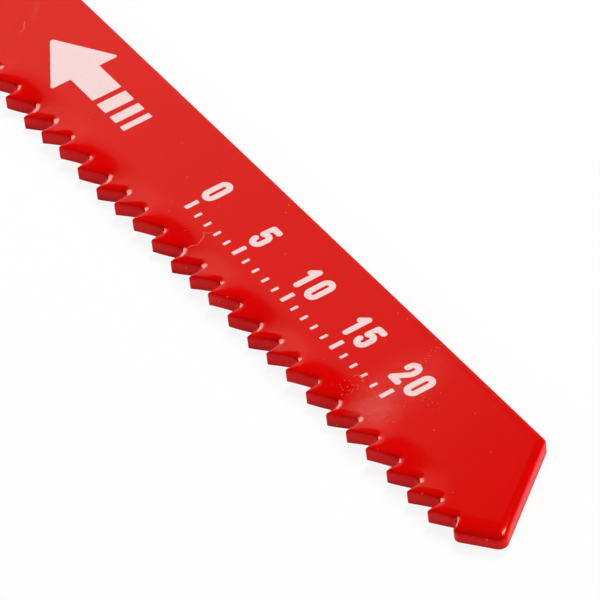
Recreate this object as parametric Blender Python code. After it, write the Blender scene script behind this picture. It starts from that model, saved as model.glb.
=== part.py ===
"""Jigsaw blade: one strip of steel with a T shank and milled, wavy-set teeth, coated in red enamel.

+X runs along the blade from the shank to the point, +Y from the teeth to the back and +Z out of the
face. The origin lies on that face, in the middle of the shank's lugs.
"""

import math

import bmesh
import bpy
from mathutils import Vector, geometry

MM = 0.001
DEGREE = math.pi / 180.0

# Strip, measured over its coat
BODY_WIDTH = 8.18 * MM
THICKNESS = 1.0 * MM

# Edges: the face rolls gently down before it rounds off, most of all along the teeth, and the
# underside has a smaller rounding
ROLL_WIDTH = 0.55 * MM
ROLL_TILT = 24.0 * DEGREE
BACK_ROLL = 0.15
RIM_ROUND = 0.2 * MM
UNDER_ROUND = 0.07 * MM

# Shank, from the tongue's free end to the shoulder where the blade's full width begins
TONGUE_WIDTH = 6.3 * MM
TONGUE_LENGTH = 6.8 * MM
TONGUE_CHAMFER = 1.0 * MM
LUG_SPAN = 10.2 * MM
LUG_LENGTH = 2.6 * MM
NECK_WIDTH = 6.8 * MM
NECK_LENGTH = 8.5 * MM
SHOULDER_LENGTH = 1.5 * MM
SHANK_CORNER = 0.4 * MM
SHANK_FILLET = 0.6 * MM
RUN_OUT = 4.5 * MM

# Teeth, whose tips lean from their roots towards the point by the rake
TOOTH_COUNT = 33
PITCH = 2.0 * MM
RAKE_LEAN = 15.0 * DEGREE
FLANK_SLOPE = 34.5 * DEGREE
TIP_ROUND = 0.08 * MM
GULLET_ROUND = 0.24 * MM

# Wavy set, which bends the tooth row to both sides in turn
SET_THROW = 0.2 * MM
SET_LEAN = 0.05 * MM
SET_TEETH = 4
SET_DEPTH = 2.8 * MM
SET_FADE_TEETH = 3

# Point: a shallow gullet, a plain land and the slanted end
LAST_GULLET_DEPTH = 0.95 * MM
LAND_STEP = 2.06 * MM
LAND_RISE = 0.25 * MM
LAND_LENGTH = 3.02 * MM
LAND_SLOPE = 37.0 * DEGREE
LAND_FALL = 0.18 * MM
LAND_FALL_REACH = 1.2 * MM
LAND_ROUND = 0.45 * MM
POINT_ROUND = 0.53 * MM
END_SLANT = 38.8 * DEGREE
BACK_ROUND = 0.3 * MM

# Facets
ARC_STEP = 30.0 * DEGREE
ROLL_STEPS = 2
RIM_STEPS = 2
UNDER_STEPS = 2
SET_ROWS = 3
SET_COLUMNS_PER_TOOTH = 2
LAND_ROWS = 2
LAND_COLUMNS = 4
SHARP_ANGLE = 50.0 * DEGREE
SAME_POINT = 0.0001 * MM

# Enamel
ENAMEL_RED = (0.68, 0.012, 0.008, 1.0)
ENAMEL_ROUGHNESS = 0.22

# Places that follow from the sizes
LUG_START = -LUG_LENGTH / 2
LUG_END = LUG_LENGTH / 2
TONGUE_END = LUG_START - TONGUE_LENGTH
BACK_LINE = NECK_WIDTH / 2
TIP_LINE = BACK_LINE - BODY_WIDTH
NECK_END = LUG_END + NECK_LENGTH
SHOULDER_END = NECK_END + SHOULDER_LENGTH
FIRST_TIP = SHOULDER_END + RUN_OUT
LAST_TIP = FIRST_TIP + (TOOTH_COUNT - 1) * PITCH
LAND_X = LAST_TIP + LAND_STEP
LAND_Y = TIP_LINE + LAND_RISE


def clear_scene():
    """Remove whatever the scene holds."""
    for item in list(bpy.data.objects):
        bpy.data.objects.remove(item, do_unlink=True)


def corner_depth():
    """Height of a gullet's unrounded corner above the tip line, where a flank meets the next rake."""
    flank = math.tan(FLANK_SLOPE)
    return PITCH * flank / (1 + math.tan(RAKE_LEAN) * flank)


def gullet_depth():
    """Height of a gullet's rounded bottom above the tip line."""
    notch = math.pi / 2 - FLANK_SLOPE + RAKE_LEAN
    bisector = math.pi / 4 + (FLANK_SLOPE + RAKE_LEAN) / 2
    centre_drop = GULLET_ROUND / math.sin(notch / 2) * math.sin(bisector)
    return corner_depth() - centre_drop + GULLET_ROUND


def shank_corners_tooth_side():
    """Corners from the tongue's free end to the first tooth, each as x, y and radius."""
    lug = LUG_SPAN / 2
    tongue = TONGUE_WIDTH / 2
    neck = NECK_WIDTH / 2
    root = TIP_LINE + gullet_depth()
    return [
        (TONGUE_END, -tongue + TONGUE_CHAMFER, SHANK_CORNER),
        (TONGUE_END + TONGUE_CHAMFER, -tongue, SHANK_CORNER),
        (LUG_START, -tongue, SHANK_FILLET),
        (LUG_START, -lug, SHANK_CORNER),
        (LUG_END, -lug, SHANK_CORNER),
        (LUG_END, -neck, SHANK_FILLET),
        (NECK_END, -neck, SHANK_FILLET),
        (SHOULDER_END, root, SHANK_FILLET),
        (FIRST_TIP - gullet_depth() * math.tan(RAKE_LEAN), root, GULLET_ROUND),
    ]


def tooth_corners():
    """Tip and gullet corners along the row. The last gullet is shallow and opens onto the land."""
    corners = []
    for index in range(TOOTH_COUNT):
        tip = FIRST_TIP + index * PITCH
        depth = corner_depth() if index < TOOTH_COUNT - 1 else LAST_GULLET_DEPTH
        corners.append((tip, TIP_LINE, TIP_ROUND))
        corners.append((tip + depth / math.tan(FLANK_SLOPE), TIP_LINE + depth, GULLET_ROUND))
    return corners


def point_corners():
    """Corners of the land and the slanted end, up to the back edge."""
    point_x = LAND_X + LAND_LENGTH * math.cos(LAND_SLOPE)
    point_y = LAND_Y + LAND_LENGTH * math.sin(LAND_SLOPE)
    back_x = point_x - (BACK_LINE - point_y) * math.tan(END_SLANT)
    return [
        (LAND_X, LAND_Y, LAND_ROUND),
        (point_x, point_y, POINT_ROUND),
        (back_x, BACK_LINE, BACK_ROUND),
    ]


def shank_corners_back_side():
    """Corners from the back edge, which runs straight into the neck, to the tongue's free end."""
    lug = LUG_SPAN / 2
    tongue = TONGUE_WIDTH / 2
    return [
        (LUG_END, BACK_LINE, SHANK_FILLET),
        (LUG_END, lug, SHANK_CORNER),
        (LUG_START, lug, SHANK_CORNER),
        (LUG_START, tongue, SHANK_FILLET),
        (TONGUE_END + TONGUE_CHAMFER, tongue, SHANK_CORNER),
        (TONGUE_END, tongue - TONGUE_CHAMFER, SHANK_CORNER),
    ]


def rounded_outline(corners, inset):
    """Points of the closed outline with its corners rounded, moved into the metal by the inset."""
    points = []
    count = len(corners)
    for index, (x, y, radius) in enumerate(corners):
        corner = Vector((x, y))
        before = (corner - Vector(corners[index - 1][:2])).normalized()
        after = (Vector(corners[(index + 1) % count][:2]) - corner).normalized()
        inward = Vector((-before.y, before.x))
        inward_after = Vector((-after.y, after.x))
        moved = corner + (inward + inward_after) * (inset / (1 + inward.dot(inward_after)))
        turn = math.atan2(before.x * after.y - before.y * after.x, before.dot(after))
        side = math.copysign(1.0, turn)
        bend = max(radius - side * inset, 0.0)
        start = moved - before * (bend * math.tan(abs(turn) / 2))
        centre = start + inward * (side * bend)
        steps = max(1, math.ceil(abs(turn) / ARC_STEP))
        for step in range(steps + 1):
            angle = turn * step / steps
            spoke = Vector((
                inward.x * math.cos(angle) - inward.y * math.sin(angle),
                inward.x * math.sin(angle) + inward.y * math.cos(angle),
            ))
            points.append(centre - spoke * (side * bend))
    return points


def skin_profile():
    """Inset, height and share of the face's own falls of each ring, from the face to the underside."""
    rings = []
    for step in range(ROLL_STEPS):
        rings.append((ROLL_WIDTH - (ROLL_WIDTH - RIM_ROUND) * step / ROLL_STEPS, 0.0, 1.0))
    for step in range(RIM_STEPS + 1):
        tilt = math.pi / 2 * step / RIM_STEPS
        rings.append((RIM_ROUND * (1 - math.sin(tilt)), RIM_ROUND * (math.cos(tilt) - 1), 1.0))
    for step in range(UNDER_STEPS + 1):
        tilt = math.pi / 2 * (1 + step / UNDER_STEPS)
        rise = UNDER_ROUND * (1 + math.cos(tilt))
        rings.append((UNDER_ROUND * (1 - math.sin(tilt)), -THICKNESS + rise, 0.0))
    return rings


def ease(value):
    """Rise smoothly from 0 to 1."""
    value = min(max(value, 0.0), 1.0)
    return value * value * (3 - 2 * value)


def set_offset(x, y):
    """Bend of the wavy set, which leans to the underside: full at the tips, none past its depth."""
    fade = SET_FADE_TEETH * PITCH
    along = ease((x - FIRST_TIP) / fade) * ease((LAST_TIP - x) / fade)
    across = 1 - ease((y - TIP_LINE) / SET_DEPTH)
    wave = math.sin(2 * math.pi * (x - FIRST_TIP) / (SET_TEETH * PITCH))
    return (SET_THROW * wave - SET_LEAN) * along * across


def land_fall(x, y):
    """How far the face falls away towards the land."""
    away = (y - LAND_Y) * math.cos(LAND_SLOPE) - (x - LAND_X) * math.sin(LAND_SLOPE)
    share = min(max(1 - away / LAND_FALL_REACH, 0.0), 1.0)
    return LAND_FALL * share * share


def roll_drop(y, inset):
    """How far the face has rolled down this far inside its edge: less towards the back."""
    share = 1 - (1 - BACK_ROLL) * ease((y - TIP_LINE) / BODY_WIDTH)
    reach = max(ROLL_WIDTH - inset, 0.0)
    return math.tan(ROLL_TILT) * share * reach * reach / (2 * ROLL_WIDTH)


def place(point, height, inset, face_share):
    """A point of the outline or a face in space, with the set and the face's falls to its edge and land."""
    x, y = point
    fall = land_fall(x, y) + roll_drop(y, inset)
    return x, y, height + set_offset(x, y) - face_share * fall


def bend_points():
    """Points in the face, in rows from the gullets to the end of the bend, row by row."""
    first_row = corner_depth() + ROLL_WIDTH
    columns = (TOOTH_COUNT - 1) * SET_COLUMNS_PER_TOOTH + 1
    spots = [FIRST_TIP + column * PITCH / SET_COLUMNS_PER_TOOTH for column in range(columns)]
    rows = []
    for row in range(SET_ROWS):
        y = TIP_LINE + first_row + (SET_DEPTH - first_row) * row / (SET_ROWS - 1)
        rows.append([Vector((x, y)) for x in spots])
    return rows


def land_points():
    """Points in the face along the land, out to where its fall begins."""
    start = Vector((LAND_X, LAND_Y))
    along = Vector((math.cos(LAND_SLOPE), math.sin(LAND_SLOPE)))
    away = Vector((-along.y, along.x))
    points = []
    for row in range(1, LAND_ROWS + 1):
        reach = ROLL_WIDTH + (LAND_FALL_REACH - ROLL_WIDTH) * row / LAND_ROWS
        for column in range(LAND_COLUMNS):
            run = LAND_LENGTH * column / LAND_COLUMNS
            points.append(start + along * run + away * reach)
    return points


def add_ring(mesh, points, inset, height, face_share):
    """Add one ring of vertices. Points that fall together at a sharp inset corner share a vertex."""
    ring = []
    for point in points:
        if ring and (ring[-1].co.xy - point).length < SAME_POINT:
            ring.append(ring[-1])
        else:
            ring.append(mesh.verts.new(place(point, height, inset, face_share)))
    return ring


def add_strip(mesh, upper, lower):
    """Join two rings with faces that look outwards."""
    for index in range(len(upper)):
        following = (index + 1) % len(upper)
        loop = [upper[index], lower[index], lower[following], upper[following]]
        loop = list(dict.fromkeys(loop))
        if len(loop) > 2:
            mesh.faces.new(loop)


def add_face(mesh, ring, rows, loose, height, upwards):
    """Fill a ring with triangles through the rows of bend points and the loose points that it holds."""
    rim = list(dict.fromkeys(ring))
    inner = [point for row in rows for point in row]
    rows_end = len(rim) + len(inner)
    inner += loose
    flat = [vert.co.xy / MM for vert in rim] + [point / MM for point in inner]
    edges = [(index, (index + 1) % len(rim)) for index in range(len(rim))]
    edges += [(index, index + 1) for index in range(rows_end - len(rows[-1]), rows_end - 1)]
    filled = geometry.delaunay_2d_cdt(flat, edges, [list(range(len(rim)))], 1, SAME_POINT / MM)
    verts = dict(enumerate(rim))
    for triangle in filled[2]:
        loop = []
        for corner in triangle:
            index = filled[3][corner][0]
            if index not in verts:
                spot = inner[index - len(rim)]
                verts[index] = mesh.verts.new(place(spot, height, ROLL_WIDTH, float(upwards)))
            loop.append(verts[index])
        if not upwards:
            loop.reverse()
        mesh.faces.new(loop)


def blade_mesh():
    """The whole blade as one closed mesh."""
    corners = shank_corners_tooth_side() + tooth_corners() + point_corners() + shank_corners_back_side()
    mesh = bmesh.new()
    profile = skin_profile()
    rings = []
    for inset, height, face_share in profile:
        rings.append(add_ring(mesh, rounded_outline(corners, inset), inset, height, face_share))
    for upper, lower in zip(rings, rings[1:]):
        add_strip(mesh, upper, lower)
    rows = bend_points()
    add_face(mesh, rings[0], rows, land_points(), profile[0][1], True)
    add_face(mesh, rings[-1], rows, [], profile[-1][1], False)
    bmesh.ops.triangulate(mesh, faces=mesh.faces[:])
    result = bpy.data.meshes.new("blade")
    mesh.to_mesh(result)
    mesh.free()
    result.shade_smooth()
    result.set_sharp_from_angle(angle=SHARP_ANGLE)
    return result


def enamel():
    """Glossy red baked enamel over steel."""
    material = bpy.data.materials.new("red_enamel")
    material.use_nodes = True
    shader = material.node_tree.nodes["Principled BSDF"]
    shader.inputs["Base Color"].default_value = ENAMEL_RED
    shader.inputs["Roughness"].default_value = ENAMEL_ROUGHNESS
    shader.inputs["Metallic"].default_value = 0.0
    return material


def main():
    """Build the blade."""
    clear_scene()
    blade = bpy.data.objects.new("blade", blade_mesh())
    blade.data.materials.append(enamel())
    bpy.context.scene.collection.objects.link(blade)


main()
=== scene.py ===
"""Jigsaw blade with a T shank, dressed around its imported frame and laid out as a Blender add-on.

Axes are the frame's: +X runs from the shank to the point, +Y from the teeth to the back and +Z out of
the printed face, which lies at zero. The origin is the middle of the shank's lugs.
"""

import math
import random

import bmesh
import bpy
from bpy.props import FloatProperty, FloatVectorProperty, IntProperty, PointerProperty, StringProperty
from mathutils import Euler, Matrix, Vector, geometry, noise


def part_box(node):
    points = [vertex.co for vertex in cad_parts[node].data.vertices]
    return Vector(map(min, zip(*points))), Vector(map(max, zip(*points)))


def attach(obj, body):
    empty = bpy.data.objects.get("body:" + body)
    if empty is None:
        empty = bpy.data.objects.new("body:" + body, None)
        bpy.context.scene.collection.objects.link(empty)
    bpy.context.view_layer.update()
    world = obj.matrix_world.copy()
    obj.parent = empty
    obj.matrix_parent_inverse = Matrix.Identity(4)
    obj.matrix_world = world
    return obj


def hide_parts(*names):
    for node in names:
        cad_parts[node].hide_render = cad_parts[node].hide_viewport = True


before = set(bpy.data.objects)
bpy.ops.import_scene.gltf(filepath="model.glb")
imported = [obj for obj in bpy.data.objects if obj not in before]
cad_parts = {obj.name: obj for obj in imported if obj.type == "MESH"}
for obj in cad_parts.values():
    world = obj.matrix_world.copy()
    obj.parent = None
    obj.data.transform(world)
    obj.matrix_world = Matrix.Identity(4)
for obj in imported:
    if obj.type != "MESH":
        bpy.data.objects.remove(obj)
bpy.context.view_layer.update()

bl_info = {
    "name": "Jigsaw blade",
    "version": (1, 0, 0),
    "blender": (4, 5, 0),
    "location": "3D View > Sidebar > Blade",
    "description": "Builds an enamelled jigsaw blade, its printed marks and a studio around it",
    "category": "Add Mesh",
}

MM = 0.001
DEGREE = math.pi / 180.0

# What the frame gives: the tongue's free end, the lugs' span and the lowest tooth
FRAME_LOW, FRAME_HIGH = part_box("blade")
TONGUE_END = FRAME_LOW.x
LUG_SPAN = FRAME_HIGH.y - FRAME_LOW.y
FLOOR_HEIGHT = FRAME_LOW.z

# Shank
TONGUE_WIDTH = 6.3 * MM
TONGUE_CHAMFER = 1.0 * MM
LUG_LENGTH = 2.6 * MM
NECK_LENGTH = 8.5 * MM
SHOULDER_LENGTH = 1.5 * MM
SHANK_CORNER = 0.4 * MM
SHANK_FILLET = 0.6 * MM
RUN_OUT = 4.5 * MM

# Point
LAST_GULLET_DEPTH = 0.95 * MM
LAND_STEP = 2.06 * MM
LAND_RISE = 0.25 * MM
LAND_LENGTH = 3.02 * MM
LAND_SLOPE = 37.0 * DEGREE
LAND_FALL = 0.18 * MM
LAND_FALL_REACH = 1.2 * MM
LAND_ROUND = 0.45 * MM
POINT_ROUND = 0.53 * MM
END_SLANT = 38.8 * DEGREE
BACK_ROUND = 0.3 * MM

# The coat pools round each gullet and the point's corner, and its fall to the edges wanders a little
POOL_REACH = 0.9 * MM
POINT_POOL_BACK = 0.27 * MM
POINT_POOL_UP = 0.11 * MM
ROLL_WANDER = 0.35
WANDER_LENGTH = 0.9 * MM

# How fine the mesh is
ARC_STEP = 12.0 * DEGREE
ROLL_STEPS = 5
RIM_STEPS = 6
WALL_STEPS = 3
UNDER_STEPS = 3
STRETCH = 0.2 * MM
GRID_STEP = 0.16 * MM
SAME_POINT = 0.0001 * MM
SLOPE_STEP = 0.01 * MM
# Straight runs longer than this many pitches stay whole
WHOLE_RUN_PITCHES = 4
# The kind of fill that keeps only the triangles inside the outline
FILL_INSIDE = 1

# Finishes of the blade's faces, as slots of its mesh
FACE_FINISH = 0
WALL_FINISH = 1


class BladeSizes(bpy.types.PropertyGroup):
    """Sizes of the blade, over its coat."""

    neck_width: FloatProperty(
        name="Neck width", description="Width between the lugs and the teeth",
        default=6.8 * MM, unit="LENGTH", precision=5)
    body_width: FloatProperty(
        name="Body width", description="From the tips of the teeth to the back edge",
        default=8.18 * MM, unit="LENGTH", precision=5)
    thickness: FloatProperty(
        name="Thickness", description="Thickness of the coated strip",
        default=1.0 * MM, unit="LENGTH", precision=5)
    rim_round: FloatProperty(
        name="Rim rounding", description="Radius that the coat gives to the printed face's edges",
        default=0.2 * MM, unit="LENGTH", precision=5)
    under_round: FloatProperty(
        name="Underside rounding", description="Radius that the coat gives to the underside's edges",
        default=0.07 * MM, unit="LENGTH", precision=5)
    roll_width: FloatProperty(
        name="Roll", description="Width of the gentle fall that the punch left along the face's edges",
        default=0.55 * MM, unit="LENGTH", precision=5)
    roll_tilt: FloatProperty(
        name="Roll tilt", description="Steepest slope of that fall, along the teeth",
        default=24.0 * DEGREE, subtype="ANGLE")
    back_roll: FloatProperty(
        name="Roll at the back", description="Share of that slope along the back edge",
        default=0.15, min=0.0, max=1.0, subtype="FACTOR")
    tip_roll: FloatProperty(
        name="Roll at the tips", description="Share of that slope at the tips of the teeth",
        default=0.4, min=0.0, max=1.0, subtype="FACTOR")
    gullet_roll: FloatProperty(
        name="Roll in the gullets", description="How much steeper the coat falls where it pools there",
        default=0.6, min=0.0, max=1.0, subtype="FACTOR")
    tooth_count: IntProperty(
        name="Teeth", description="Number of teeth", default=33, min=4)
    pitch: FloatProperty(
        name="Pitch", description="From one tip to the next",
        default=2.0 * MM, unit="LENGTH", precision=5)
    rake_lean: FloatProperty(
        name="Rake lean", description="How far a tooth's front leans from its root to the point",
        default=15.0 * DEGREE, subtype="ANGLE")
    flank_slope: FloatProperty(
        name="Flank slope", description="Slope of a tooth's back",
        default=34.5 * DEGREE, subtype="ANGLE")
    tip_round: FloatProperty(
        name="Tip rounding", description="Radius of a coated tip",
        default=0.08 * MM, unit="LENGTH", precision=5)
    gullet_round: FloatProperty(
        name="Gullet rounding", description="Radius at the bottom of a gullet",
        default=0.24 * MM, unit="LENGTH", precision=5)
    set_throw: FloatProperty(
        name="Set", description="How far the wavy set bends a tip to either side",
        default=0.2 * MM, unit="LENGTH", precision=5)
    set_lean: FloatProperty(
        name="Set lean", description="How far the middle of the wave lies towards the underside",
        default=0.05 * MM, unit="LENGTH", precision=5)
    set_teeth: IntProperty(
        name="Teeth in a wave", description="Teeth in one wave of the set", default=4, min=2)
    set_depth: FloatProperty(
        name="Set depth", description="How far the bend reaches up from the tips",
        default=2.8 * MM, unit="LENGTH", precision=5)
    set_fade_teeth: IntProperty(
        name="Fade", description="Teeth over which the set grows and dies away", default=3, min=1)


class BladeFinish(bpy.types.PropertyGroup):
    """Colours and gloss of the coat, the ink and the dust."""

    enamel: StringProperty(
        name="Enamel", description="Colour of the enamel, as sRGB hex", default="D90604")
    # Painted light: the walls' red is lighter than the face's, to stand in for light that the walls don't
    # get
    wall_enamel: StringProperty(
        name="Wall enamel", description="Colour of the coat on the milled walls", default="F51416")
    gloss: FloatProperty(
        name="Roughness", description="Roughness of the enamelled faces",
        default=0.1, min=0.0, max=1.0, subtype="FACTOR")
    wall_gloss: FloatProperty(
        name="Wall roughness", description="Roughness of the coated milled walls",
        default=0.36, min=0.0, max=1.0, subtype="FACTOR")
    ink: StringProperty(
        name="Ink", description="Colour of the printing ink", default="F1D1CF")
    # Its pale pink is partly fine dust and partly painted sheen
    haze: StringProperty(
        name="Haze", description="Colour of the fine dust that dulls the face in a band", default="E07870")
    dust: StringProperty(
        name="Dust", description="Colour of the dust grains", default="F2584A")
    lint: StringProperty(
        name="Lint", description="Colour of lint under the coat", default="FF4C3A")


class MarkSizes(bpy.types.PropertyGroup):
    """Sizes of the printed arrow and scale."""

    ink_height: FloatProperty(
        name="Ink height", description="How far the ink stands proud of the enamel",
        default=0.014 * MM, unit="LENGTH", precision=6)
    arrow_length: FloatProperty(
        name="Arrow length", description="Length of the stroke arrow",
        default=9.8 * MM, unit="LENGTH", precision=5)
    arrow_width: FloatProperty(
        name="Arrow width", description="Width of the arrow's head",
        default=4.7 * MM, unit="LENGTH", precision=5)
    digit_height: FloatProperty(
        name="Digit height", description="Height of the scale's figures",
        default=1.95 * MM, unit="LENGTH", precision=5)
    digit_stroke: FloatProperty(
        name="Digit stroke", description="Width of the figures' strokes",
        default=0.4 * MM, unit="LENGTH", precision=5)


class StudioSettings(bpy.types.PropertyGroup):
    """Floor, light and camera."""

    floor: StringProperty(
        name="Floor", description="Colour of the floor", default="F4F4F2")
    key_power: FloatProperty(
        name="Key lamp", description="Power of the high softbox beyond the back edge",
        default=1.5, min=0.0, unit="POWER")
    card_power: FloatProperty(
        name="White card", description="Power of the card that the coat mirrors in its rounded edges",
        default=2.1, min=0.0, unit="POWER")
    high_card_power: FloatProperty(
        name="High card", description="Power of the card that the point's rounded corner mirrors",
        default=3.0, min=0.0, unit="POWER")
    side_power: FloatProperty(
        name="Side lamp", description="Power of the softbox beyond the point",
        default=8.6, min=0.0, unit="POWER")
    fill_power: FloatProperty(
        name="Fill lamp", description="Power of the weak lamp before the teeth",
        default=1.2, min=0.0, unit="POWER")
    lens: FloatProperty(
        name="Lens", description="Focal length of the camera in millimetres",
        default=390.0, min=1.0, unit="CAMERA")
    aim: FloatVectorProperty(
        name="Aim", description="Point that the camera looks at",
        default=(60.557 * MM, -0.432 * MM, -1.0 * MM), subtype="TRANSLATION")
    distance: FloatProperty(
        name="Distance", description="From the camera to its aim",
        default=363.786 * MM, unit="LENGTH")
    azimuth: FloatProperty(
        name="Azimuth", description="Turn of the camera round the blade, from looking along +Y",
        default=61.818 * DEGREE, subtype="ANGLE")
    elevation: FloatProperty(
        name="Elevation", description="Height of the camera above the horizon",
        default=42.22 * DEGREE, subtype="ANGLE")
    roll: FloatProperty(
        name="Roll", description="Turn of the camera about its own line of sight",
        default=-7.412 * DEGREE, subtype="ANGLE")


def linear(hex_colour):
    """An sRGB hex colour as linear red, green, blue and alpha."""
    channels = [int(hex_colour[place:place + 2], 16) / 255 for place in (0, 2, 4)]
    curve = [c / 12.92 if c <= 0.04045 else ((c + 0.055) / 1.055) ** 2.4 for c in channels]
    return (*curve, 1.0)


def toned(hex_colour, level):
    """An sRGB hex colour in linear light, at this share of its level."""
    red, green, blue, alpha = linear(hex_colour)
    return level * red, level * green, level * blue, alpha


def fill(tree, node, inputs):
    """Give a node's own inputs their values, or link them from sockets."""
    for name, value in inputs.items():
        if isinstance(value, bpy.types.NodeSocket):
            tree.links.new(value, node.inputs[name])
        else:
            node.inputs[name].default_value = value


def add(tree, kind, inputs=None, **settings):
    """Add a node with its settings. Inputs are values, or sockets to link from."""
    node = tree.nodes.new(kind)
    for name, value in settings.items():
        setattr(node, name, value)
    fill(tree, node, inputs or {})
    return node


def new_material(name):
    """A material named for its finish, its node tree and its shader."""
    material = bpy.data.materials.new(name)
    material.use_nodes = True
    tree = material.node_tree
    return material, tree, tree.nodes["Principled BSDF"]


# Outline of the blade


class Blade:
    """The outline and the set of the blade, from its sizes."""

    def __init__(self, sizes):
        self.sizes = sizes
        self.back = sizes.neck_width / 2
        self.tips = self.back - sizes.body_width
        self.neck_end = LUG_LENGTH / 2 + NECK_LENGTH
        self.shoulder_end = self.neck_end + SHOULDER_LENGTH
        self.first_tip = self.shoulder_end + RUN_OUT
        self.last_tip = self.first_tip + (sizes.tooth_count - 1) * sizes.pitch
        flank = math.tan(sizes.flank_slope)
        self.corner_depth = sizes.pitch * flank / (1 + math.tan(sizes.rake_lean) * flank)
        self.land_x = self.last_tip + LAND_STEP
        self.land_y = self.tips + LAND_RISE
        self.point_x = self.land_x + LAND_LENGTH * math.cos(LAND_SLOPE)
        self.point_y = self.land_y + LAND_LENGTH * math.sin(LAND_SLOPE)
        self.pools = (
            (self.last_tip + LAST_GULLET_DEPTH / flank, self.tips + LAST_GULLET_DEPTH),
            (self.point_x - POINT_POOL_BACK, self.point_y + POINT_POOL_UP),
        )

    def gullet_depth(self):
        """Height of a gullet's rounded bottom above the tips."""
        sizes = self.sizes
        notch = math.pi / 2 - sizes.flank_slope + sizes.rake_lean
        bisector = math.pi / 4 + (sizes.flank_slope + sizes.rake_lean) / 2
        drop = sizes.gullet_round / math.sin(notch / 2) * math.sin(bisector)
        return self.corner_depth - drop + sizes.gullet_round

    def corners(self):
        """Corners of the closed outline, counterclockwise, each as x, y and radius."""
        return self.shank_start() + self.teeth() + self.point() + self.shank_finish()

    def shank_start(self):
        """From the tongue's free end, as on the other side, to the first tooth."""
        sizes = self.sizes
        depth = self.gullet_depth()
        return [(x, -y, radius) for x, y, radius in reversed(self.shank_finish())] + [
            (self.neck_end, -self.back, SHANK_FILLET),
            (self.shoulder_end, self.tips + depth, SHANK_FILLET),
            (self.first_tip - depth * math.tan(sizes.rake_lean), self.tips + depth, sizes.gullet_round),
        ]

    def teeth(self):
        """Tips and gullets. The last gullet is shallow and opens onto the land."""
        sizes = self.sizes
        corners = []
        for index in range(sizes.tooth_count):
            tip = self.first_tip + index * sizes.pitch
            depth = self.corner_depth if index < sizes.tooth_count - 1 else LAST_GULLET_DEPTH
            run = depth / math.tan(sizes.flank_slope)
            corners.append((tip, self.tips, sizes.tip_round))
            corners.append((tip + run, self.tips + depth, sizes.gullet_round))
        return corners

    def point(self):
        """The land and the slanted end, up to the back edge."""
        back_x = self.point_x - (self.back - self.point_y) * math.tan(END_SLANT)
        return [
            (self.land_x, self.land_y, LAND_ROUND),
            (self.point_x, self.point_y, POINT_ROUND),
            (back_x, self.back, BACK_ROUND),
        ]

    def shank_finish(self):
        """From the straight back edge, which runs into the neck, to the tongue's free end."""
        lug = LUG_SPAN / 2
        tongue = TONGUE_WIDTH / 2
        return [
            (LUG_LENGTH / 2, self.back, SHANK_FILLET),
            (LUG_LENGTH / 2, lug, SHANK_CORNER),
            (-LUG_LENGTH / 2, lug, SHANK_CORNER),
            (-LUG_LENGTH / 2, tongue, SHANK_FILLET),
            (TONGUE_END + TONGUE_CHAMFER, tongue, SHANK_CORNER),
            (TONGUE_END, tongue - TONGUE_CHAMFER, SHANK_CORNER),
        ]

    def set_offset(self, x, y):
        """Sideways bend of the wavy set: full at the tips and none past its depth or at the row's ends."""
        sizes = self.sizes
        fade = sizes.set_fade_teeth * sizes.pitch
        along = ease((x - self.first_tip) / fade) * ease((self.last_tip - x) / fade)
        across = 1 - ease((y - self.tips) / sizes.set_depth)
        wave = math.sin(2 * math.pi * (x - self.first_tip) / (sizes.set_teeth * sizes.pitch))
        return (sizes.set_throw * wave - sizes.set_lean) * along * across

    def land_fall(self, x, y):
        """How far the printed face falls away towards the land."""
        away = (y - self.land_y) * math.cos(LAND_SLOPE) - (x - self.land_x) * math.sin(LAND_SLOPE)
        share = min(max(1 - away / LAND_FALL_REACH, 0.0), 1.0)
        return LAND_FALL * share * share

    def roll_share(self, x, y):
        """Share of the roll's slope: less at the tips and the back, more in the gullets' corners."""
        sizes = self.sizes
        back = (1 - sizes.back_roll) * ease((y - self.tips) / sizes.body_width)
        tooth = ease((self.land_x - x) / sizes.pitch)
        tip = (1 - sizes.tip_roll) * (1 - ease((y - self.tips) / self.gullet_depth())) * tooth
        gullet = self.first_tip + self.corner_depth / math.tan(sizes.flank_slope)
        along = math.remainder(x - gullet, sizes.pitch)
        reach = math.hypot(along, y - self.tips - self.corner_depth) / POOL_REACH
        pool = sizes.gullet_roll * (1 - ease(reach)) * tooth
        for pool_x, pool_y in self.pools:
            pool += 1 - ease(math.hypot(x - pool_x, y - pool_y) / POOL_REACH)
        wander = ROLL_WANDER * noise.noise(Vector((x, y, 0)) / WANDER_LENGTH)
        return (1 - back) * (1 - tip) * (1 + pool) * (1 + wander)

    def roll_slope(self, x, y, inset):
        """How steeply the printed face rolls down this far inside its edge."""
        sizes = self.sizes
        return math.tan(sizes.roll_tilt) * self.roll_share(x, y) * max(1 - inset / sizes.roll_width, 0.0)

    def roll_drop(self, x, y, inset):
        """How far the printed face has rolled down there."""
        return self.roll_slope(x, y, inset) * max(self.sizes.roll_width - inset, 0.0) / 2

    def offset(self, x, y, inset, face_share):
        """Height that the set and, on the printed face, the falls to the edge and to the land add."""
        fall = self.land_fall(x, y) + self.roll_drop(x, y, inset)
        return self.set_offset(x, y) - face_share * fall

    def slope(self, x, y, inset, face_share):
        """Slopes of that height along x and y."""
        step = SLOPE_STEP
        along = self.offset(x + step, y, inset, face_share) - self.offset(x - step, y, inset, face_share)
        across = self.offset(x, y + step, inset, face_share) - self.offset(x, y - step, inset, face_share)
        return along / (2 * step), across / (2 * step)


def ease(value):
    """Rise smoothly from 0 to 1."""
    value = min(max(value, 0.0), 1.0)
    return value * value * (3 - 2 * value)


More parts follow.
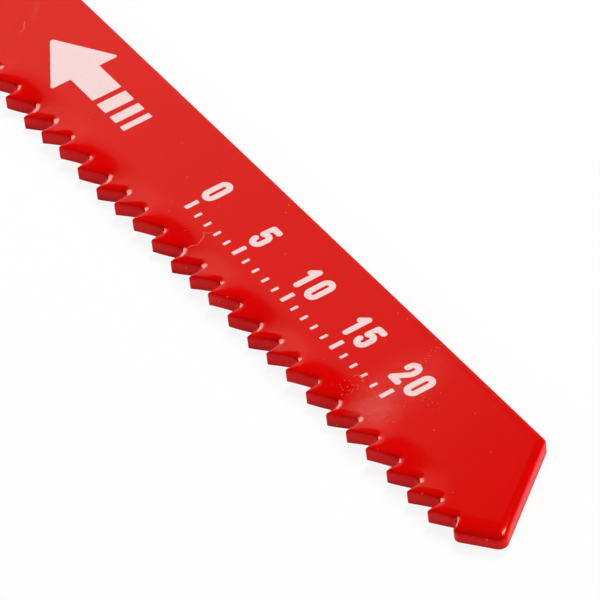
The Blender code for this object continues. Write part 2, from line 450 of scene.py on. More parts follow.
def rounded(corners, inset=0.0, closed=True):
    """Points of a line with rounded corners, moved to its left by the inset.

    Each point comes with the direction of the line's left side there.
    """
    points = []
    count = len(corners)
    for index, (x, y, radius) in enumerate(corners):
        corner = Vector((x, y))
        ends = not closed and index in (0, count - 1)
        behind = Vector(corners[index - 1][:2])
        ahead = Vector(corners[(index + 1) % count][:2])
        before = (corner - behind).normalized()
        after = (ahead - corner).normalized()
        if ends:
            before = after = after if index == 0 else before
        left = Vector((-before.y, before.x))
        left_after = Vector((-after.y, after.x))
        moved = corner + (left + left_after) * (inset / (1 + left.dot(left_after)))
        turn = math.atan2(before.x * after.y - before.y * after.x, before.dot(after))
        side = math.copysign(1.0, turn)
        bend = max(radius - side * inset, 0.0)
        start = moved - before * (bend * math.tan(abs(turn) / 2))
        centre = start + left * (side * bend)
        steps = 0 if ends else max(1, math.ceil(abs(turn) / ARC_STEP))
        for step in range(steps + 1):
            angle = turn * step / max(steps, 1)
            spoke = Matrix.Rotation(angle, 2) @ left
            points.append((centre - spoke * (side * bend), spoke))
    return points


def loop_points(corners, inset=0.0):
    """Only the points of a closed line with rounded corners."""
    return [point for point, _ in rounded(corners, inset)]


def split_evenly(ring, counts):
    """The ring with each of its stretches split into that many equal parts."""
    result = []
    for index, count in enumerate(counts):
        point, side = ring[index]
        following, side_after = ring[(index + 1) % len(ring)]
        for part in range(count):
            share = part / count
            result.append((point.lerp(following, share), side.lerp(side_after, share)))
    return result


def mesh_data(name, collected):
    """Mesh data of what a bmesh has collected, which is freed."""
    data = bpy.data.meshes.new(name)
    collected.to_mesh(data)
    collected.free()
    return data


def add_line(curve, points):
    """Add a line of straight runs through these points to a curve."""
    spline = curve.splines.new("POLY")
    spline.points.add(len(points) - 1)
    for place, point in enumerate(points):
        spline.points[place].co = (*point, 1.0)
    return spline


def linked(name, data):
    """A new object with this data, linked to the scene."""
    made = bpy.data.objects.new(name, data)
    bpy.context.scene.collection.objects.link(made)
    return made


def new_object(name, data, materials):
    """Link a new object that wears these materials and rides on the blade's only body."""
    made = linked(name, data)
    for material in materials:
        data.materials.append(material)
    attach(made, "root")
    return made


# The enamelled blade


class ShellMaker:
    """Collects the blade's skin, ring by ring, with the true normal at each vertex."""

    def __init__(self, blade):
        self.blade = blade
        self.mesh = bmesh.new()
        self.normals = self.mesh.verts.layers.float_vector.new("true_normal")

    def vertex(self, point, height, normal, inset, face_share):
        """Add a vertex, bent with the set and kept in the frame's box, with its normal turned to match."""
        along, across = self.blade.slope(point.x, point.y, inset, face_share)
        bend = self.blade.offset(point.x, point.y, inset, face_share)
        place = Vector((point.x, point.y, height + bend))
        inside = [min(max(value, low), high) for value, low, high in zip(place, FRAME_LOW, FRAME_HIGH)]
        made = self.mesh.verts.new(inside)
        turned = Vector((normal.x - along * normal.z, normal.y - across * normal.z, normal.z))
        made[self.normals] = turned.normalized()
        return made

    def ring(self, points, inset, height, tilt, face_share):
        """Add one ring of vertices. Points that fall together at a sharp inset corner share a vertex."""
        made = []
        spot = None
        for point, inward in points:
            steep = tilt
            if tilt < math.pi / 2:
                steep = math.atan(math.tan(tilt) + self.blade.roll_slope(point.x, point.y, inset))
            normal = Vector((-inward.x * math.sin(steep), -inward.y * math.sin(steep), math.cos(steep)))
            if spot is not None and (spot - point).length < SAME_POINT:
                made.append(made[-1])
                made[-1][self.normals] += normal
            else:
                made.append(self.vertex(point, height, normal, inset, face_share))
            spot = point
        return made

    def strip(self, upper, lower, finish):
        """Join two rings with faces that look outwards."""
        for index in range(len(upper)):
            following = (index + 1) % len(upper)
            loop = [upper[index], lower[index], lower[following], upper[following]]
            loop = list(dict.fromkeys(loop))
            if len(loop) > 2:
                self.mesh.faces.new(loop).material_index = finish

    def face(self, ring, grid, height, upwards):
        """Fill a ring with triangles through the points of the grid that it holds."""
        rim = list(dict.fromkeys(ring))
        flat = [vert.co.xy / MM for vert in rim] + [point / MM for point in grid]
        edges = [(index, (index + 1) % len(rim)) for index in range(len(rim))]
        outline = [list(range(len(rim)))]
        filled = geometry.delaunay_2d_cdt(flat, edges, outline, FILL_INSIDE, SAME_POINT / MM)
        triangles, origins = filled[2:4]
        normal = Vector((0, 0, 1 if upwards else -1))
        inset = self.blade.sizes.roll_width
        verts = dict(enumerate(rim))
        for triangle in triangles:
            loop = []
            for corner in triangle:
                index = origins[corner][0]
                if index not in verts:
                    point = grid[index - len(rim)]
                    verts[index] = self.vertex(point, height, normal, inset, float(upwards))
                loop.append(verts[index])
            if not upwards:
                loop.reverse()
            self.mesh.faces.new(loop).material_index = FACE_FINISH

    def finished(self, name):
        """The collected skin as a mesh of triangles with its true normals."""
        bmesh.ops.triangulate(self.mesh, faces=self.mesh.faces[:])
        normals = [vert[self.normals].normalized() for vert in self.mesh.verts]
        self.mesh.verts.layers.float_vector.remove(self.normals)
        made = mesh_data(name, self.mesh)
        made.shade_smooth()
        made.normals_split_custom_set_from_vertices(normals)
        return made


def skin_profile(sizes):
    """Rings from the printed face over its rounded edge and the wall to the underside.

    Each is an inset, a height, an outward tilt and the share of the face's own falls that it takes.
    """
    radius = sizes.rim_round
    rings = []
    for step in range(ROLL_STEPS):
        rings.append((sizes.roll_width + (radius - sizes.roll_width) * step / ROLL_STEPS, 0.0, 0.0, 1.0))
    for step in range(RIM_STEPS + 1):
        tilt = math.pi / 2 * step / RIM_STEPS
        rings.append((radius * (1 - math.sin(tilt)), -radius * (1 - math.cos(tilt)), tilt, 1.0))
    wall_end = -sizes.thickness + sizes.under_round
    for step in range(1, WALL_STEPS):
        share = step / WALL_STEPS
        rings.append((0.0, -radius + (wall_end + radius) * share, math.pi / 2, 1 - share))
    for step in range(UNDER_STEPS + 1):
        tilt = math.pi / 2 * (1 + step / UNDER_STEPS)
        rise = sizes.under_round * (1 + math.cos(tilt))
        rings.append((sizes.under_round * (1 - math.sin(tilt)), -sizes.thickness + rise, tilt, 0.0))
    return rings


def blade_mesh(sizes):
    """The whole blade as one closed skin, finer than the frame's and of the same form."""
    blade = Blade(sizes)
    corners = blade.corners()
    base = rounded(corners)
    lengths = [(base[(index + 1) % len(base)][0] - base[index][0]).length for index in range(len(base))]
    whole = WHOLE_RUN_PITCHES * sizes.pitch
    counts = [max(1, math.ceil(length / STRETCH)) if length < whole else 1 for length in lengths]
    shell = ShellMaker(blade)
    profile = skin_profile(sizes)
    rings = []
    for inset, height, tilt, face_share in profile:
        ring = split_evenly(rounded(corners, inset), counts)
        rings.append(shell.ring(ring, inset, height, tilt, face_share))
    wall_start = ROLL_STEPS + RIM_STEPS
    # The lower half of the rounded rim has the wall's finish
    for index, (upper, lower) in enumerate(zip(rings, rings[1:])):
        on_wall = wall_start - RIM_STEPS // 2 <= index < wall_start + WALL_STEPS
        shell.strip(upper, lower, WALL_FINISH if on_wall else FACE_FINISH)
    columns = math.ceil((blade.land_x + LAND_LENGTH - blade.first_tip) / GRID_STEP)
    rows = math.ceil((sizes.set_depth + LAND_FALL_REACH) / GRID_STEP)
    # Where the set and the land bend the faces, a grid of points with every other row shifted
    grid = []
    for row in range(1, rows + 1):
        for column in range(columns):
            x = blade.first_tip + (column + 0.5 * (row % 2)) * GRID_STEP
            grid.append(Vector((x, blade.tips + row * GRID_STEP)))
    shell.face(rings[0], grid, profile[0][1], True)
    shell.face(rings[-1], grid, profile[-1][1], False)
    return shell.finished("enamelled_blade")


# Fine dust lies in a band across the printed face, thickest by the teeth, and in a faint streak nearer
# to the shank; its paler pink also paints sheen where the face mirrors more light. Each patch is a centre,
# half axes, a turn and a share, and none reaches the underside
HAZE_CLUMP = 0.7 * MM
HAZE_DEPTH = 0.8 * MM
HAZE_AND_SHEEN_PATCHES = (
    ((70.9 * MM, -0.6 * MM, 0.0), (2.6 * MM, 4.6 * MM, HAZE_DEPTH), 11.0 * DEGREE, 0.13),
    ((71.4 * MM, -2.5 * MM, 0.0), (2.3 * MM, 1.6 * MM, HAZE_DEPTH), 11.0 * DEGREE, 0.19),
    ((30.4 * MM, 0.7 * MM, 0.0), (1.5 * MM, 0.3 * MM, HAZE_DEPTH), -39.0 * DEGREE, 0.08),
)


def haze_share(tree, place):
    """Socket with the share of fine dust and painted sheen on the face: soft patches, broken up by noise.
    """
    noise_settings = {"Vector": place, "Scale": 1 / HAZE_CLUMP, "Detail": 4.0}
    clumps = add(tree, "ShaderNodeTexNoise", noise_settings).outputs["Fac"]
    total = None
    for centre, reach, turn, share in HAZE_AND_SHEEN_PATCHES:
        local = add(
            tree, "ShaderNodeMapping",
            {"Vector": place, "Location": centre, "Rotation": (0.0, 0.0, turn), "Scale": reach},
            vector_type="TEXTURE").outputs[0]
        away = add(tree, "ShaderNodeVectorMath", {0: local}, operation="LENGTH").outputs["Value"]
        # The noise is a half on average, so a patch starts from twice its share
        soft = add(
            tree, "ShaderNodeMapRange",
            {"Value": away, "From Min": 0.0, "From Max": 1.0, "To Min": 2 * share, "To Max": 0.0},
            interpolation_type="SMOOTHSTEP").outputs["Result"]
        total = soft if total is None else add(tree, "ShaderNodeMath", {0: total, 1: soft}).outputs[0]
    return add(tree, "ShaderNodeMath", {0: total, 1: clumps}, operation="MULTIPLY").outputs[0]


# The sprayed coat: a slow change of thickness, orange peel, and warm pigment that tints what it mirrors
COAT_IOR = 1.5
SPRAY_DRIFT = 9.0 * MM
SPRAY_TONE = 0.93
PEEL_WIDTH = 0.6 * MM
PEEL_DEPTH = 0.0006 * MM
MIRROR_TINT = "FFD1AE"


def face_enamel(finish):
    """Baked enamel, sprayed and glossy: a deep red that mirrors the studio, with a faint orange peel."""
    material, tree, shader = new_material("baked_enamel_sprayed")
    place = add(tree, "ShaderNodeTexCoord").outputs["Object"]
    # Slightly deeper red where the coat is thicker, over about a centimetre
    drift = add(tree, "ShaderNodeTexNoise", {"Vector": place, "Scale": 1 / SPRAY_DRIFT, "Detail": 2.0})
    shade = add(tree, "ShaderNodeMix", {
        0: drift.outputs["Fac"],
        6: linear(finish.enamel),
        7: toned(finish.enamel, SPRAY_TONE),
    }, data_type="RGBA")
    # Fine dust, and in part painted sheen, pales the face in patches
    dust_and_sheen = add(tree, "ShaderNodeMix", {
        0: haze_share(tree, place), 6: shade.outputs[2], 7: linear(finish.haze)}, data_type="RGBA")
    # Orange peel makes the mirrored edges waver
    peel = add(tree, "ShaderNodeTexNoise", {"Vector": place, "Scale": 1 / PEEL_WIDTH, "Detail": 1.0})
    bump = add(tree, "ShaderNodeBump", {"Height": peel.outputs["Fac"], "Distance": PEEL_DEPTH})
    fill(tree, shader, {
        "Base Color": dust_and_sheen.outputs[2],
        "Normal": bump.outputs["Normal"],
        "Roughness": finish.gloss,
        "IOR": COAT_IOR,
        "Specular Tint": linear(MIRROR_TINT),
    })
    return material


# The walls: the cutter's lines across the thickness, and the height over which painted shade darkens them
# towards the underside
CUTTER_LINE = 0.12 * MM
CUTTER_STRETCH = 0.05
CUTTER_DEPTH = 0.002 * MM
CUTTER_TONE = 0.85
PAINTED_SHADE_FROM = -0.55 * MM
PAINTED_SHADE_TO = -1.05 * MM
PAINTED_SHADE_SHARE = 0.35
PAINTED_SHADE_TONE = 0.3
WALL_MIRROR = 0.1


def wall_enamel(finish):
    """Baked enamel over milled steel: less gloss on the walls, with the cutter's lines showing through."""
    material, tree, shader = new_material("baked_enamel_on_milled_wall")
    place = add(tree, "ShaderNodeTexCoord").outputs["Object"]
    # Fine upright lines, lighter and darker by turns
    lines = add(tree, "ShaderNodeMapping", {"Vector": place, "Scale": (1.0, 1.0, CUTTER_STRETCH)})
    milling = add(tree, "ShaderNodeTexNoise", {
        "Vector": lines.outputs["Vector"], "Scale": 1 / CUTTER_LINE, "Detail": 2.0})
    bump = add(tree, "ShaderNodeBump", {"Height": milling.outputs["Fac"], "Distance": CUTTER_DEPTH})
    # Painted light: this lighter wall red stands in for light that the walls don't get
    shade = add(tree, "ShaderNodeMix", {
        0: milling.outputs["Fac"],
        6: linear(finish.wall_enamel),
        7: toned(finish.wall_enamel, CUTTER_TONE),
    }, data_type="RGBA")
    # Painted shade: the walls darken towards the underside
    height = add(tree, "ShaderNodeSeparateXYZ", {0: place}).outputs["Z"]
    # Share of painted shade: none above that height, growing towards the underside
    thin = add(tree, "ShaderNodeMapRange", {
        "Value": height, "From Min": PAINTED_SHADE_TO, "From Max": PAINTED_SHADE_FROM, "To Min": PAINTED_SHADE_SHARE, "To Max": 0.0})
    painted_shade_colour = add(tree, "ShaderNodeMix", {
        0: thin.outputs["Result"],
        6: shade.outputs[2],
        7: toned(finish.wall_enamel, PAINTED_SHADE_TONE),
    }, data_type="RGBA")
    fill(tree, shader, {
        "Base Color": painted_shade_colour.outputs[2],
        "Normal": bump.outputs["Normal"],
        "Roughness": finish.wall_gloss,
        "IOR": COAT_IOR,
        "Specular IOR Level": WALL_MIRROR,
    })
    return material


class BLADE_OT_enamelled_blade(bpy.types.Operator):
    """Build the enamelled blade in place of the frame's solid"""

    bl_idname = "blade.enamelled_blade"
    bl_label = "Enamelled blade"

    def execute(self, context):
        finish = context.scene.blade_finish
        mesh = blade_mesh(context.scene.blade_sizes)
        made = new_object("enamelled_blade", mesh, [face_enamel(finish), wall_enamel(finish)])
        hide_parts("blade")
        return {"FINISHED"}


# The printed marks

# Where the arrow and the scale are printed, and the forms of the scale's ticks and figures
ARROW_POINT_X = 33.2 * MM
ARROW_Y = -0.03 * MM
SCALE_START_X = 50.9 * MM
SCALE_TICK_Y = -1.83 * MM
SCALE_LENGTH_MM = 20
SCALE_FIGURE_EVERY = 5
SCALE_TICK = 0.5 * MM
SCALE_LONG_TICK = 0.9 * MM
SCALE_TICK_WIDTH = 0.2 * MM
SCALE_LONG_TICK_WIDTH = 0.3 * MM
FIGURE_GAP = 0.32 * MM
FIGURE_WIDTH_SHARE = 0.52
# How round the ink's corners are, and the steps of a stroke's round end
INK_CORNER = 0.06 * MM
CAP_STEPS = 8
# The arrow's head, bars and gaps as shares of its length, and its shaft as a share of its width
ARROW_HEAD = 0.4
ARROW_BARS = (0.1, 0.07, 0.045)
ARROW_GAP = 0.045
ARROW_SHAFT = 0.42

# Centre lines of the figures in a box one wide and one high: x, y and rounding as a share of the width
FIGURES = {
    "0": (True, [(0, 0, 0.5), (1, 0, 0.5), (1, 1, 0.5), (0, 1, 0.5)]),
    "1": (False, [(0.2, 0.76, 0), (0.72, 1, 0.02), (0.72, 0, 0)]),
    "2": (False, [(0, 0.7, 0), (0, 1, 0.5), (1, 1, 0.5), (1, 0.6, 0.4), (0, 0, 0.02), (1, 0, 0)]),
    "5": (False, [(0.95, 1, 0), (0.1, 1, 0.02), (0.02, 0.52, 0.06), (0.3, 0.62, 0.2), (1, 0.62, 0.42),
                  (1, 0, 0.5), (0, 0, 0.5), (0, 0.22, 0)]),
}


def stroke_loops(line, width, closed):
    """Outlines of a stroke along a line: an outer and an inner one, or a single one with round ends."""
    half = width / 2
    if closed:
        return [loop_points(line, -half), loop_points(line, half)]
    right = rounded(line, -half, closed=False)
    left = rounded(line, half, closed=False)
    loop = [point for point, _ in right]
    for (x, y, _), side, way in ((line[-1], right[-1][1], -1), (line[0], right[0][1], 1)):
        for step in range(1, CAP_STEPS):
            turned = Matrix.Rotation(math.pi * step / CAP_STEPS, 2) @ side
            loop.append(Vector((x, y)) + turned * (way * half))
        if way == -1:
            loop += [point for point, _ in reversed(left)]
    return [loop]


def figure_loops(text, centre_x, base_y, height, stroke):
    """Outlines of a number, centred over a place, built from the figures' centre lines."""
    width = height * FIGURE_WIDTH_SHARE - stroke
    tall = height - stroke
    advance = width + stroke + FIGURE_GAP
    start = centre_x - (len(text) - 1) * advance / 2 - width / 2
    loops = []
    for place, figure in enumerate(text):
        closed, line = FIGURES[figure]
        left = start + place * advance
        low = base_y + stroke / 2
        corners = [(left + x * width, low + y * tall, radius * width) for x, y, radius in line]
        loops += stroke_loops(corners, stroke, closed)
    return loops


def box_loop(left, right, low, high):
    """A rectangle with slightly rounded corners."""
    corners = ((left, low), (right, low), (right, high), (left, high))
    return loop_points([(x, y, INK_CORNER) for x, y in corners])


def scale_loops(sizes):
    """A plain millimetre scale: a tick each millimetre, with a longer one and a number each five."""
    loops = []
    for count in range(SCALE_LENGTH_MM + 1):
        x = SCALE_START_X + count * MM
        numbered = count % SCALE_FIGURE_EVERY == 0
        half = (SCALE_LONG_TICK_WIDTH if numbered else SCALE_TICK_WIDTH) / 2
        tall = SCALE_LONG_TICK if numbered else SCALE_TICK
        loops.append(box_loop(x - half, x + half, SCALE_TICK_Y, SCALE_TICK_Y + tall))
        if numbered:
            base = SCALE_TICK_Y + SCALE_LONG_TICK + FIGURE_GAP
            loops += figure_loops(str(count), x, base, sizes.digit_height, sizes.digit_stroke)
    return loops


def arrow_loops(sizes):
    """An arrow along the cutting stroke, which points to the shank and trails off in three bars."""
    length = sizes.arrow_length
    head = ARROW_POINT_X + ARROW_HEAD * length
    half = sizes.arrow_width / 2
    shaft = ARROW_SHAFT * half
    bars = [share * length for share in ARROW_BARS]
    gap = ARROW_GAP * length
    neck = ARROW_POINT_X + length - sum(bars) - len(bars) * gap
    corners = [
        (ARROW_POINT_X, ARROW_Y, 3 * INK_CORNER),
        (head, ARROW_Y - half, 2 * INK_CORNER),
        (head, ARROW_Y - shaft, INK_CORNER),
        (neck, ARROW_Y - shaft, INK_CORNER),
        (neck, ARROW_Y + shaft, INK_CORNER),
        (head, ARROW_Y + shaft, INK_CORNER),
        (head, ARROW_Y + half, 2 * INK_CORNER),
    ]
    loops = [loop_points(corners)]
    left = neck + gap
    for bar in bars:
        loops.append(box_loop(left, left + bar, ARROW_Y - shaft, ARROW_Y + shaft))
        left += bar + gap
    return loops


def print_curve(name, loops, ink_height):
    """A thin printed film with these outlines, filled between the outer ones and the holes."""
    curve = bpy.data.curves.new(name, "CURVE")
    curve.dimensions = "2D"
    curve.fill_mode = "BOTH"
    curve.extrude = ink_height / 2
    for loop in loops:
        add_line(curve, [(*point, 0.0) for point in loop]).use_cyclic_u = True
    return curve


# The ink: size and share of its thin places, their colour, and its surface
PINHOLE = 0.15 * MM
PINHOLE_FROM = 0.56
PINHOLE_TO = 0.78
PINHOLE_SHARE = 0.55
PINHOLE_COLOUR = "E8A9A8"
INK_ROUGHNESS = 0.42
INK_IOR = 1.48


def printing_ink(finish):
    """Pad-printing ink, matt and slightly thin: off-white, with pinholes where the red shows through."""
    material, tree, shader = new_material("pad_printing_ink")
    place = add(tree, "ShaderNodeTexCoord").outputs["Object"]
    # Pinholes and thin places make the white uneven and pink in spots
    grain = add(tree, "ShaderNodeTexNoise", {"Vector": place, "Scale": 1 / PINHOLE, "Detail": 3.0})
    thin = add(tree, "ShaderNodeMapRange", {
        "Value": grain.outputs["Fac"],
        "From Min": PINHOLE_FROM, "From Max": PINHOLE_TO, "To Min": 0.0, "To Max": PINHOLE_SHARE})
    shade = add(tree, "ShaderNodeMix", {
        0: thin.outputs["Result"], 6: linear(finish.ink), 7: linear(PINHOLE_COLOUR)}, data_type="RGBA")
    fill(tree, shader, {"Base Color": shade.outputs[2], "Roughness": INK_ROUGHNESS, "IOR": INK_IOR})
    return material


class BLADE_OT_printed_marks(bpy.types.Operator):
    """Print the stroke arrow and the millimetre scale on the face"""

    bl_idname = "blade.printed_marks"
    bl_label = "Printed marks"

    def execute(self, context):
        marks = context.scene.blade_marks
        ink = printing_ink(context.scene.blade_finish)
        prints = {"stroke_arrow": arrow_loops(marks), "millimetre_scale": scale_loops(marks)}
        for name, loops in prints.items():
            made = new_object(name, print_curve(name, loops, marks.ink_height), [ink])
            made.location.z = marks.ink_height / 2
        return {"FINISHED"}


# Dust and lint

# Lint caught in the coat: its radius, the share of that at its ends, how finely it is built, and its
# lines of x and y in millimetres
LINT_RADIUS = 0.045 * MM
LINT_END = 0.5
LINT_RESOLUTION = 2
LINT = (
    ((30.88, -0.36), (31.09, -0.53), (31.47, -0.78), (31.56, -0.96), (31.51, -1.21)),
    ((53.67, -1.68), (53.54, -2.03), (53.32, -2.15), (53.59, -2.26), (53.79, -2.58), (53.94, -2.96),
     (53.75, -3.25), (53.73, -3.5)),
    ((68.61, -2.09), (68.63, -1.91), (68.73, -1.79), (68.93, -1.77), (69.22, -1.83)),
)
# Single grains: x, y, z and radius in millimetres
GRAINS = (
    (69.24, -1.86, 0.0, 0.075), (68.54, -2.61, 0.0, 0.04), (68.87, -3.06, 0.0, 0.04),
    (70.81, -2.0, 0.0, 0.05), (71.03, -1.88, 0.0, 0.06), (71.32, -2.06, 0.0, 0.055),
    (71.13, -2.19, 0.0, 0.04), (72.15, -1.43, 0.0, 0.045), (72.37, -1.2, 0.0, 0.035),
    (72.2, -0.97, 0.0, 0.035), (72.77, -2.5, 0.0, 0.04), (68.99, 3.14, 0.0, 0.05),
    (70.69, -1.02, 0.0, 0.06), (74.95, -1.0, 0.0, 0.05), (54.5, 2.89, 0.0, 0.06),
    (54.89, 2.44, 0.0, 0.04), (65.93, 2.71, 0.0, 0.045), (50.56, -2.7, 0.0, 0.045),
    (38.33, -3.32, 0.0, 0.045), (75.27, 1.52, 0.0, 0.035), (58.39, -4.38, -0.34, 0.07),
    (58.53, -4.28, -0.2, 0.05), (58.73, -4.0, 0.0, 0.05), (54.63, -4.21, -0.58, 0.06),
    (70.35, -4.4, -0.96, 0.06), (74.33, -4.25, 0.06, 0.04), (78.52, -4.17, -0.12, 0.05),
    (83.42, -3.32, -0.39, 0.06),
)
# Drifts of fine grains: number, first and last place in millimetres, and how far they stray
DRIFTS = (
    (30, (69.6, 3.06), (70.2, 1.3), 0.1),
    (22, (69.2, -2.2), (69.6, -3.0), 0.3),
    (40, (70.9, -2.0), (72.2, -3.0), 0.5),
    (14, (72.4, 0.4), (73.4, -0.6), 0.5),
    (26, (22.0, 0.0), (82.0, 0.0), 2.4),
)
# Radii of the fine grains, how flat all grains lie, how finely they are built, and the drifts' seed
FINE_GRAIN = (0.022 * MM, 0.042 * MM)
GRAIN_FLATNESS = 0.6
GRAIN_SUBDIVISIONS = 2
DUST_SEED = 11
# The grains and hairs: how far apart their tones are, the darker one's share of the other, and their
# surfaces
DUST_SPREAD = 0.5 * MM
DUST_TONE = 0.75
DUST_MIRROR = 0.15
DUST_ROUGHNESS = 0.85
LINT_ROUGHNESS = 0.5


def on_coat(blade, place):
    """The coat's point nearest to a place, and the way the coat faces there."""
    _, point, normal, _ = blade.closest_point_on_mesh(place)
    return point, normal


def grain_places():
    """Places and radii of all grains: the single ones and those of the drifts."""
    chance = random.Random(DUST_SEED)
    places = [(Vector((x, y, z)) * MM, radius * MM) for x, y, z, radius in GRAINS]
    for number, first, last, stray in DRIFTS:
        for _ in range(number):
            middle = Vector(first).lerp(Vector(last), chance.random())
            x, y = middle.x + chance.gauss(0.0, stray), middle.y + chance.gauss(0.0, stray)
            places.append((Vector((x, y, 0.0)) * MM, chance.uniform(*FINE_GRAIN)))
    return places


def grain_mesh(blade):
    """Low grains, half sunk in the coat, as one mesh."""
    mesh = bmesh.new()
    for place, radius in grain_places():
        point, normal = on_coat(blade, place)
        lie = normal.to_track_quat("Z", "Y").to_matrix().to_4x4()
        flat = Matrix.Diagonal((1.0, 1.0, GRAIN_FLATNESS, 1.0))
        bmesh.ops.create_icosphere(
            mesh, subdivisions=GRAIN_SUBDIVISIONS, radius=radius,
            matrix=Matrix.Translation(point) @ lie @ flat)
    data = mesh_data("dust_grains", mesh)
    data.shade_smooth()
    return data


def lint_curve(blade):
    """Fine hairs that follow the face, sunk in the coat and thinner at their ends."""
    curve = bpy.data.curves.new("lint_hairs", "CURVE")
    curve.dimensions = "3D"
    curve.bevel_depth = LINT_RADIUS
    curve.bevel_resolution = LINT_RESOLUTION
    curve.use_fill_caps = True
    for line in LINT:
        spline = add_line(curve, [on_coat(blade, Vector((x, y, 0.0)) * MM)[0] for x, y in line])
        for end in (0, -1):
            spline.points[end].radius = LINT_END
    return curve


def dust_finish(name, hex_colour, roughness):
    """Dust or lint in the coat: paler than the enamel, each grain or hair in a slightly different tone."""
    material, tree, shader = new_material(name)
    place = add(tree, "ShaderNodeTexCoord").outputs["Object"]
    # Tones change from one grain to the next
    tone = add(tree, "ShaderNodeTexNoise", {"Vector": place, "Scale": 1 / DUST_SPREAD, "Detail": 1.0})
    shade = add(tree, "ShaderNodeMix", {
        0: tone.outputs["Fac"], 6: linear(hex_colour), 7: toned(hex_colour, DUST_TONE)}, data_type="RGBA")
    fill(tree, shader, {
        "Base Color": shade.outputs[2], "Roughness": roughness, "Specular IOR Level": DUST_MIRROR})
    return material


class BLADE_OT_dust_and_lint(bpy.types.Operator):
    """Scatter the grains and lay the hairs that the coat caught"""

    bl_idname = "blade.dust_and_lint"
    bl_label = "Dust and lint"

    def execute(self, context):
        finish = context.scene.blade_finish
        blade = bpy.data.objects["enamelled_blade"]
        grains = dust_finish("settled_dust", finish.dust, DUST_ROUGHNESS)
        new_object("dust_grains", grain_mesh(blade), [grains])
        hairs = dust_finish("lint_under_coat", finish.lint, LINT_ROUGHNESS)
        new_object("lint_hairs", lint_curve(blade), [hairs])
        return {"FINISHED"}


# The studio

WHITE = "FFFFFF"
FLOOR_SIDE = 2.4
FLOOR_ROUGHNESS = 0.9
# Share of plain white in the floor that the camera sees; the rest keeps the shadow
WHITE_SHARE = 0.88
# Width of the camera's sensor in its usual millimetres, and what it sees between
CAMERA_SENSOR = 36.0
CAMERA_CLIP = (0.02, 20.0)
# Lamps: name, power setting, azimuth from +X towards +Y, elevation, distance, size and whether it is a
# card. The coat mirrors a card and isn't lit by it, and a softbox lights the coat and doesn't show in it
LAMPS = (
    ("key_softbox", "key_power", 120.0, 60.0, 0.45, (0.14, 0.14), False),
    ("white_card", "card_power", 184.0, 20.0, 0.7, (0.4, 0.34), True),
    ("high_card", "high_card_power", 72.0, 63.0, 0.7, (0.26, 0.26), True),
    ("side_softbox", "side_power", 42.0, 35.0, 1.2, (0.7, 0.7), False),
    ("fill_softbox", "fill_power", 275.0, 25.0, 0.7, (0.6, 0.4), False),
)

# The world's glow: its place on the sky, the span of its ramp, and its level at angles from that place
GLOW_AZIMUTH = 164.0 * DEGREE
GLOW_ELEVATION = 22.0 * DEGREE
GLOW_SPAN = 90.0
GLOW_STEPS = (
    (17.5, 0.66), (19.2, 0.82), (20.5, 0.64), (22.3, 0.38), (23.4, 0.44), (24.3, 0.48), (24.7, 0.0))


def pale_floor(finish_hex):
    """Matt laminate, pale and plain: it shows white to the eye and keeps the blade's soft shadow."""
    material, tree, shader = new_material("matt_laminate_floor")
    fill(tree, shader, {"Base Color": linear(finish_hex), "Roughness": FLOOR_ROUGHNESS})
    glow = add(tree, "ShaderNodeEmission", {"Color": linear(WHITE)})
    rays = add(tree, "ShaderNodeLightPath").outputs
    seen = rays["Is Camera Ray"]
    for kind in ("Is Glossy Ray", "Is Transmission Ray"):
        seen = add(tree, "ShaderNodeMath", {0: seen, 1: rays[kind]}, operation="MAXIMUM").outputs[0]
    share = add(tree, "ShaderNodeMath", {0: seen, 1: WHITE_SHARE}, operation="MULTIPLY").outputs[0]
    mixed = add(tree, "ShaderNodeMixShader", {0: share, 1: shader.outputs[0], 2: glow.outputs[0]})
    fill(tree, tree.nodes["Material Output"], {"Surface": mixed.outputs[0]})
    return material


def add_floor(studio):
    """A plain floor that the lowest teeth touch."""
    mesh = bmesh.new()
    bmesh.ops.create_grid(mesh, x_segments=1, y_segments=1, size=FLOOR_SIDE / 2)
    floor = linked("floor", mesh_data("floor", mesh))
    floor.location.z = FLOOR_HEIGHT
    floor.data.materials.append(pale_floor(studio.floor))


def direction(azimuth, elevation):
    """Unit vector to a place on the sky. Azimuth is counted from +X towards +Y."""
    return Vector((
        math.cos(azimuth) * math.cos(elevation),
        math.sin(azimuth) * math.cos(elevation),
        math.sin(elevation),
    ))


def add_lamps(studio):
    """Softboxes that light the blade and cards that its coat mirrors, all facing the camera's aim."""
    for name, setting, azimuth, elevation, distance, size, card in LAMPS:
        data = bpy.data.lights.new(name, "AREA")
        data.shape = "RECTANGLE"
        data.size, data.size_y = size
        data.energy = getattr(studio, setting)
        lamp = linked(name, data)
        way = direction(azimuth * DEGREE, elevation * DEGREE)
        lamp.location = Vector(studio.aim) + way * distance
        lamp.visible_glossy = card
        lamp.visible_diffuse = not card
        lamp.rotation_euler = way.to_track_quat("Z", "Y").to_euler()


def add_world():
    """A dim studio with a glow low behind the blade."""
    world = bpy.data.worlds.new("studio")
    bpy.context.scene.world = world
    world.use_nodes = True
    tree = world.node_tree
    way = add(tree, "ShaderNodeTexCoord").outputs["Generated"]
    glow = direction(GLOW_AZIMUTH, GLOW_ELEVATION)
    nearness = add(
        tree, "ShaderNodeVectorMath", {0: way, 1: glow}, operation="DOT_PRODUCT").outputs["Value"]
    angle = add(tree, "ShaderNodeMath", {0: nearness}, operation="ARCCOSINE").outputs[0]
    share = add(tree, "ShaderNodeMath", {0: angle, 1: GLOW_SPAN * DEGREE}, operation="DIVIDE").outputs[0]
    ramp = add(tree, "ShaderNodeValToRGB", {"Fac": share})
    stops = ramp.color_ramp.elements
    stops.remove(stops[1])
    for place, (step, level) in enumerate(GLOW_STEPS):
        stop = stops.new(step / GLOW_SPAN) if place else stops[0]
        stop.position = step / GLOW_SPAN
        stop.color = (level, level, level, 1)
    fill(tree, tree.nodes["Background"], {"Color": linear(WHITE), "Strength": ramp.outputs["Color"]})


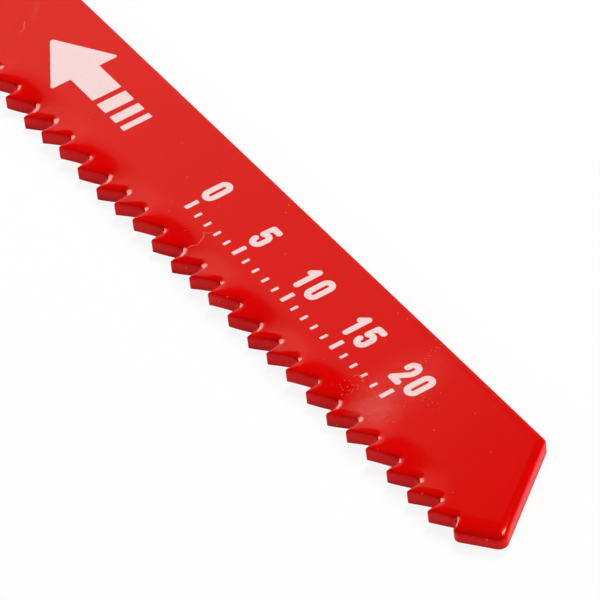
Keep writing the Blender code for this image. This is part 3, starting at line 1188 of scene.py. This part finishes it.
def add_camera(studio):
    """The camera, which looks down on the toothed end from beyond the point."""
    data = bpy.data.cameras.new("camera")
    data.lens = studio.lens
    data.sensor_width = CAMERA_SENSOR
    data.clip_start, data.clip_end = CAMERA_CLIP
    camera = linked("camera", data)
    back = direction(studio.azimuth - math.pi / 2, studio.elevation)
    camera.rotation_mode = "QUATERNION"
    level = (-back).to_track_quat("-Z", "Y")
    camera.rotation_quaternion = level @ Euler((0, 0, studio.roll)).to_quaternion()
    camera.location = Vector(studio.aim) + back * studio.distance
    bpy.context.scene.camera = camera


class BLADE_OT_studio(bpy.types.Operator):
    """Lay the floor, hang the lamps and set the camera"""

    bl_idname = "blade.studio"
    bl_label = "Studio"

    def execute(self, context):
        studio = context.scene.blade_studio
        add_floor(studio)
        add_world()
        add_lamps(studio)
        add_camera(studio)
        context.scene.view_settings.view_transform = "Standard"
        return {"FINISHED"}


class BLADE_PT_panel(bpy.types.Panel):
    """Lists the sizes, the finish and the steps of the build"""

    bl_idname = "BLADE_PT_panel"
    bl_label = "Jigsaw blade"
    bl_space_type = "VIEW_3D"
    bl_region_type = "UI"
    bl_category = "Blade"

    def draw(self, context):
        for group in (context.scene.blade_sizes, context.scene.blade_finish,
                      context.scene.blade_marks, context.scene.blade_studio):
            box = self.layout.box()
            for name in group.__annotations__:
                box.prop(group, name)
        for operator in OPERATORS:
            self.layout.operator(operator.bl_idname)


OPERATORS = (BLADE_OT_enamelled_blade, BLADE_OT_printed_marks, BLADE_OT_dust_and_lint, BLADE_OT_studio)
GROUPS = {
    "blade_sizes": BladeSizes,
    "blade_finish": BladeFinish,
    "blade_marks": MarkSizes,
    "blade_studio": StudioSettings,
}


def register():
    """Register the add-on's classes and its settings."""
    for item in (*GROUPS.values(), *OPERATORS, BLADE_PT_panel):
        bpy.utils.register_class(item)
    for name, group in GROUPS.items():
        setattr(bpy.types.Scene, name, PointerProperty(type=group))


def unregister():
    """Take the settings and the classes away again."""
    for name in GROUPS:
        delattr(bpy.types.Scene, name)
    for item in reversed((*GROUPS.values(), *OPERATORS, BLADE_PT_panel)):
        bpy.utils.unregister_class(item)


def main():
    """Build every piece and the studio."""
    register()
    bpy.ops.blade.enamelled_blade()
    bpy.ops.blade.printed_marks()
    bpy.ops.blade.dust_and_lint()
    bpy.ops.blade.studio()


if __name__ == "__main__":
    main()
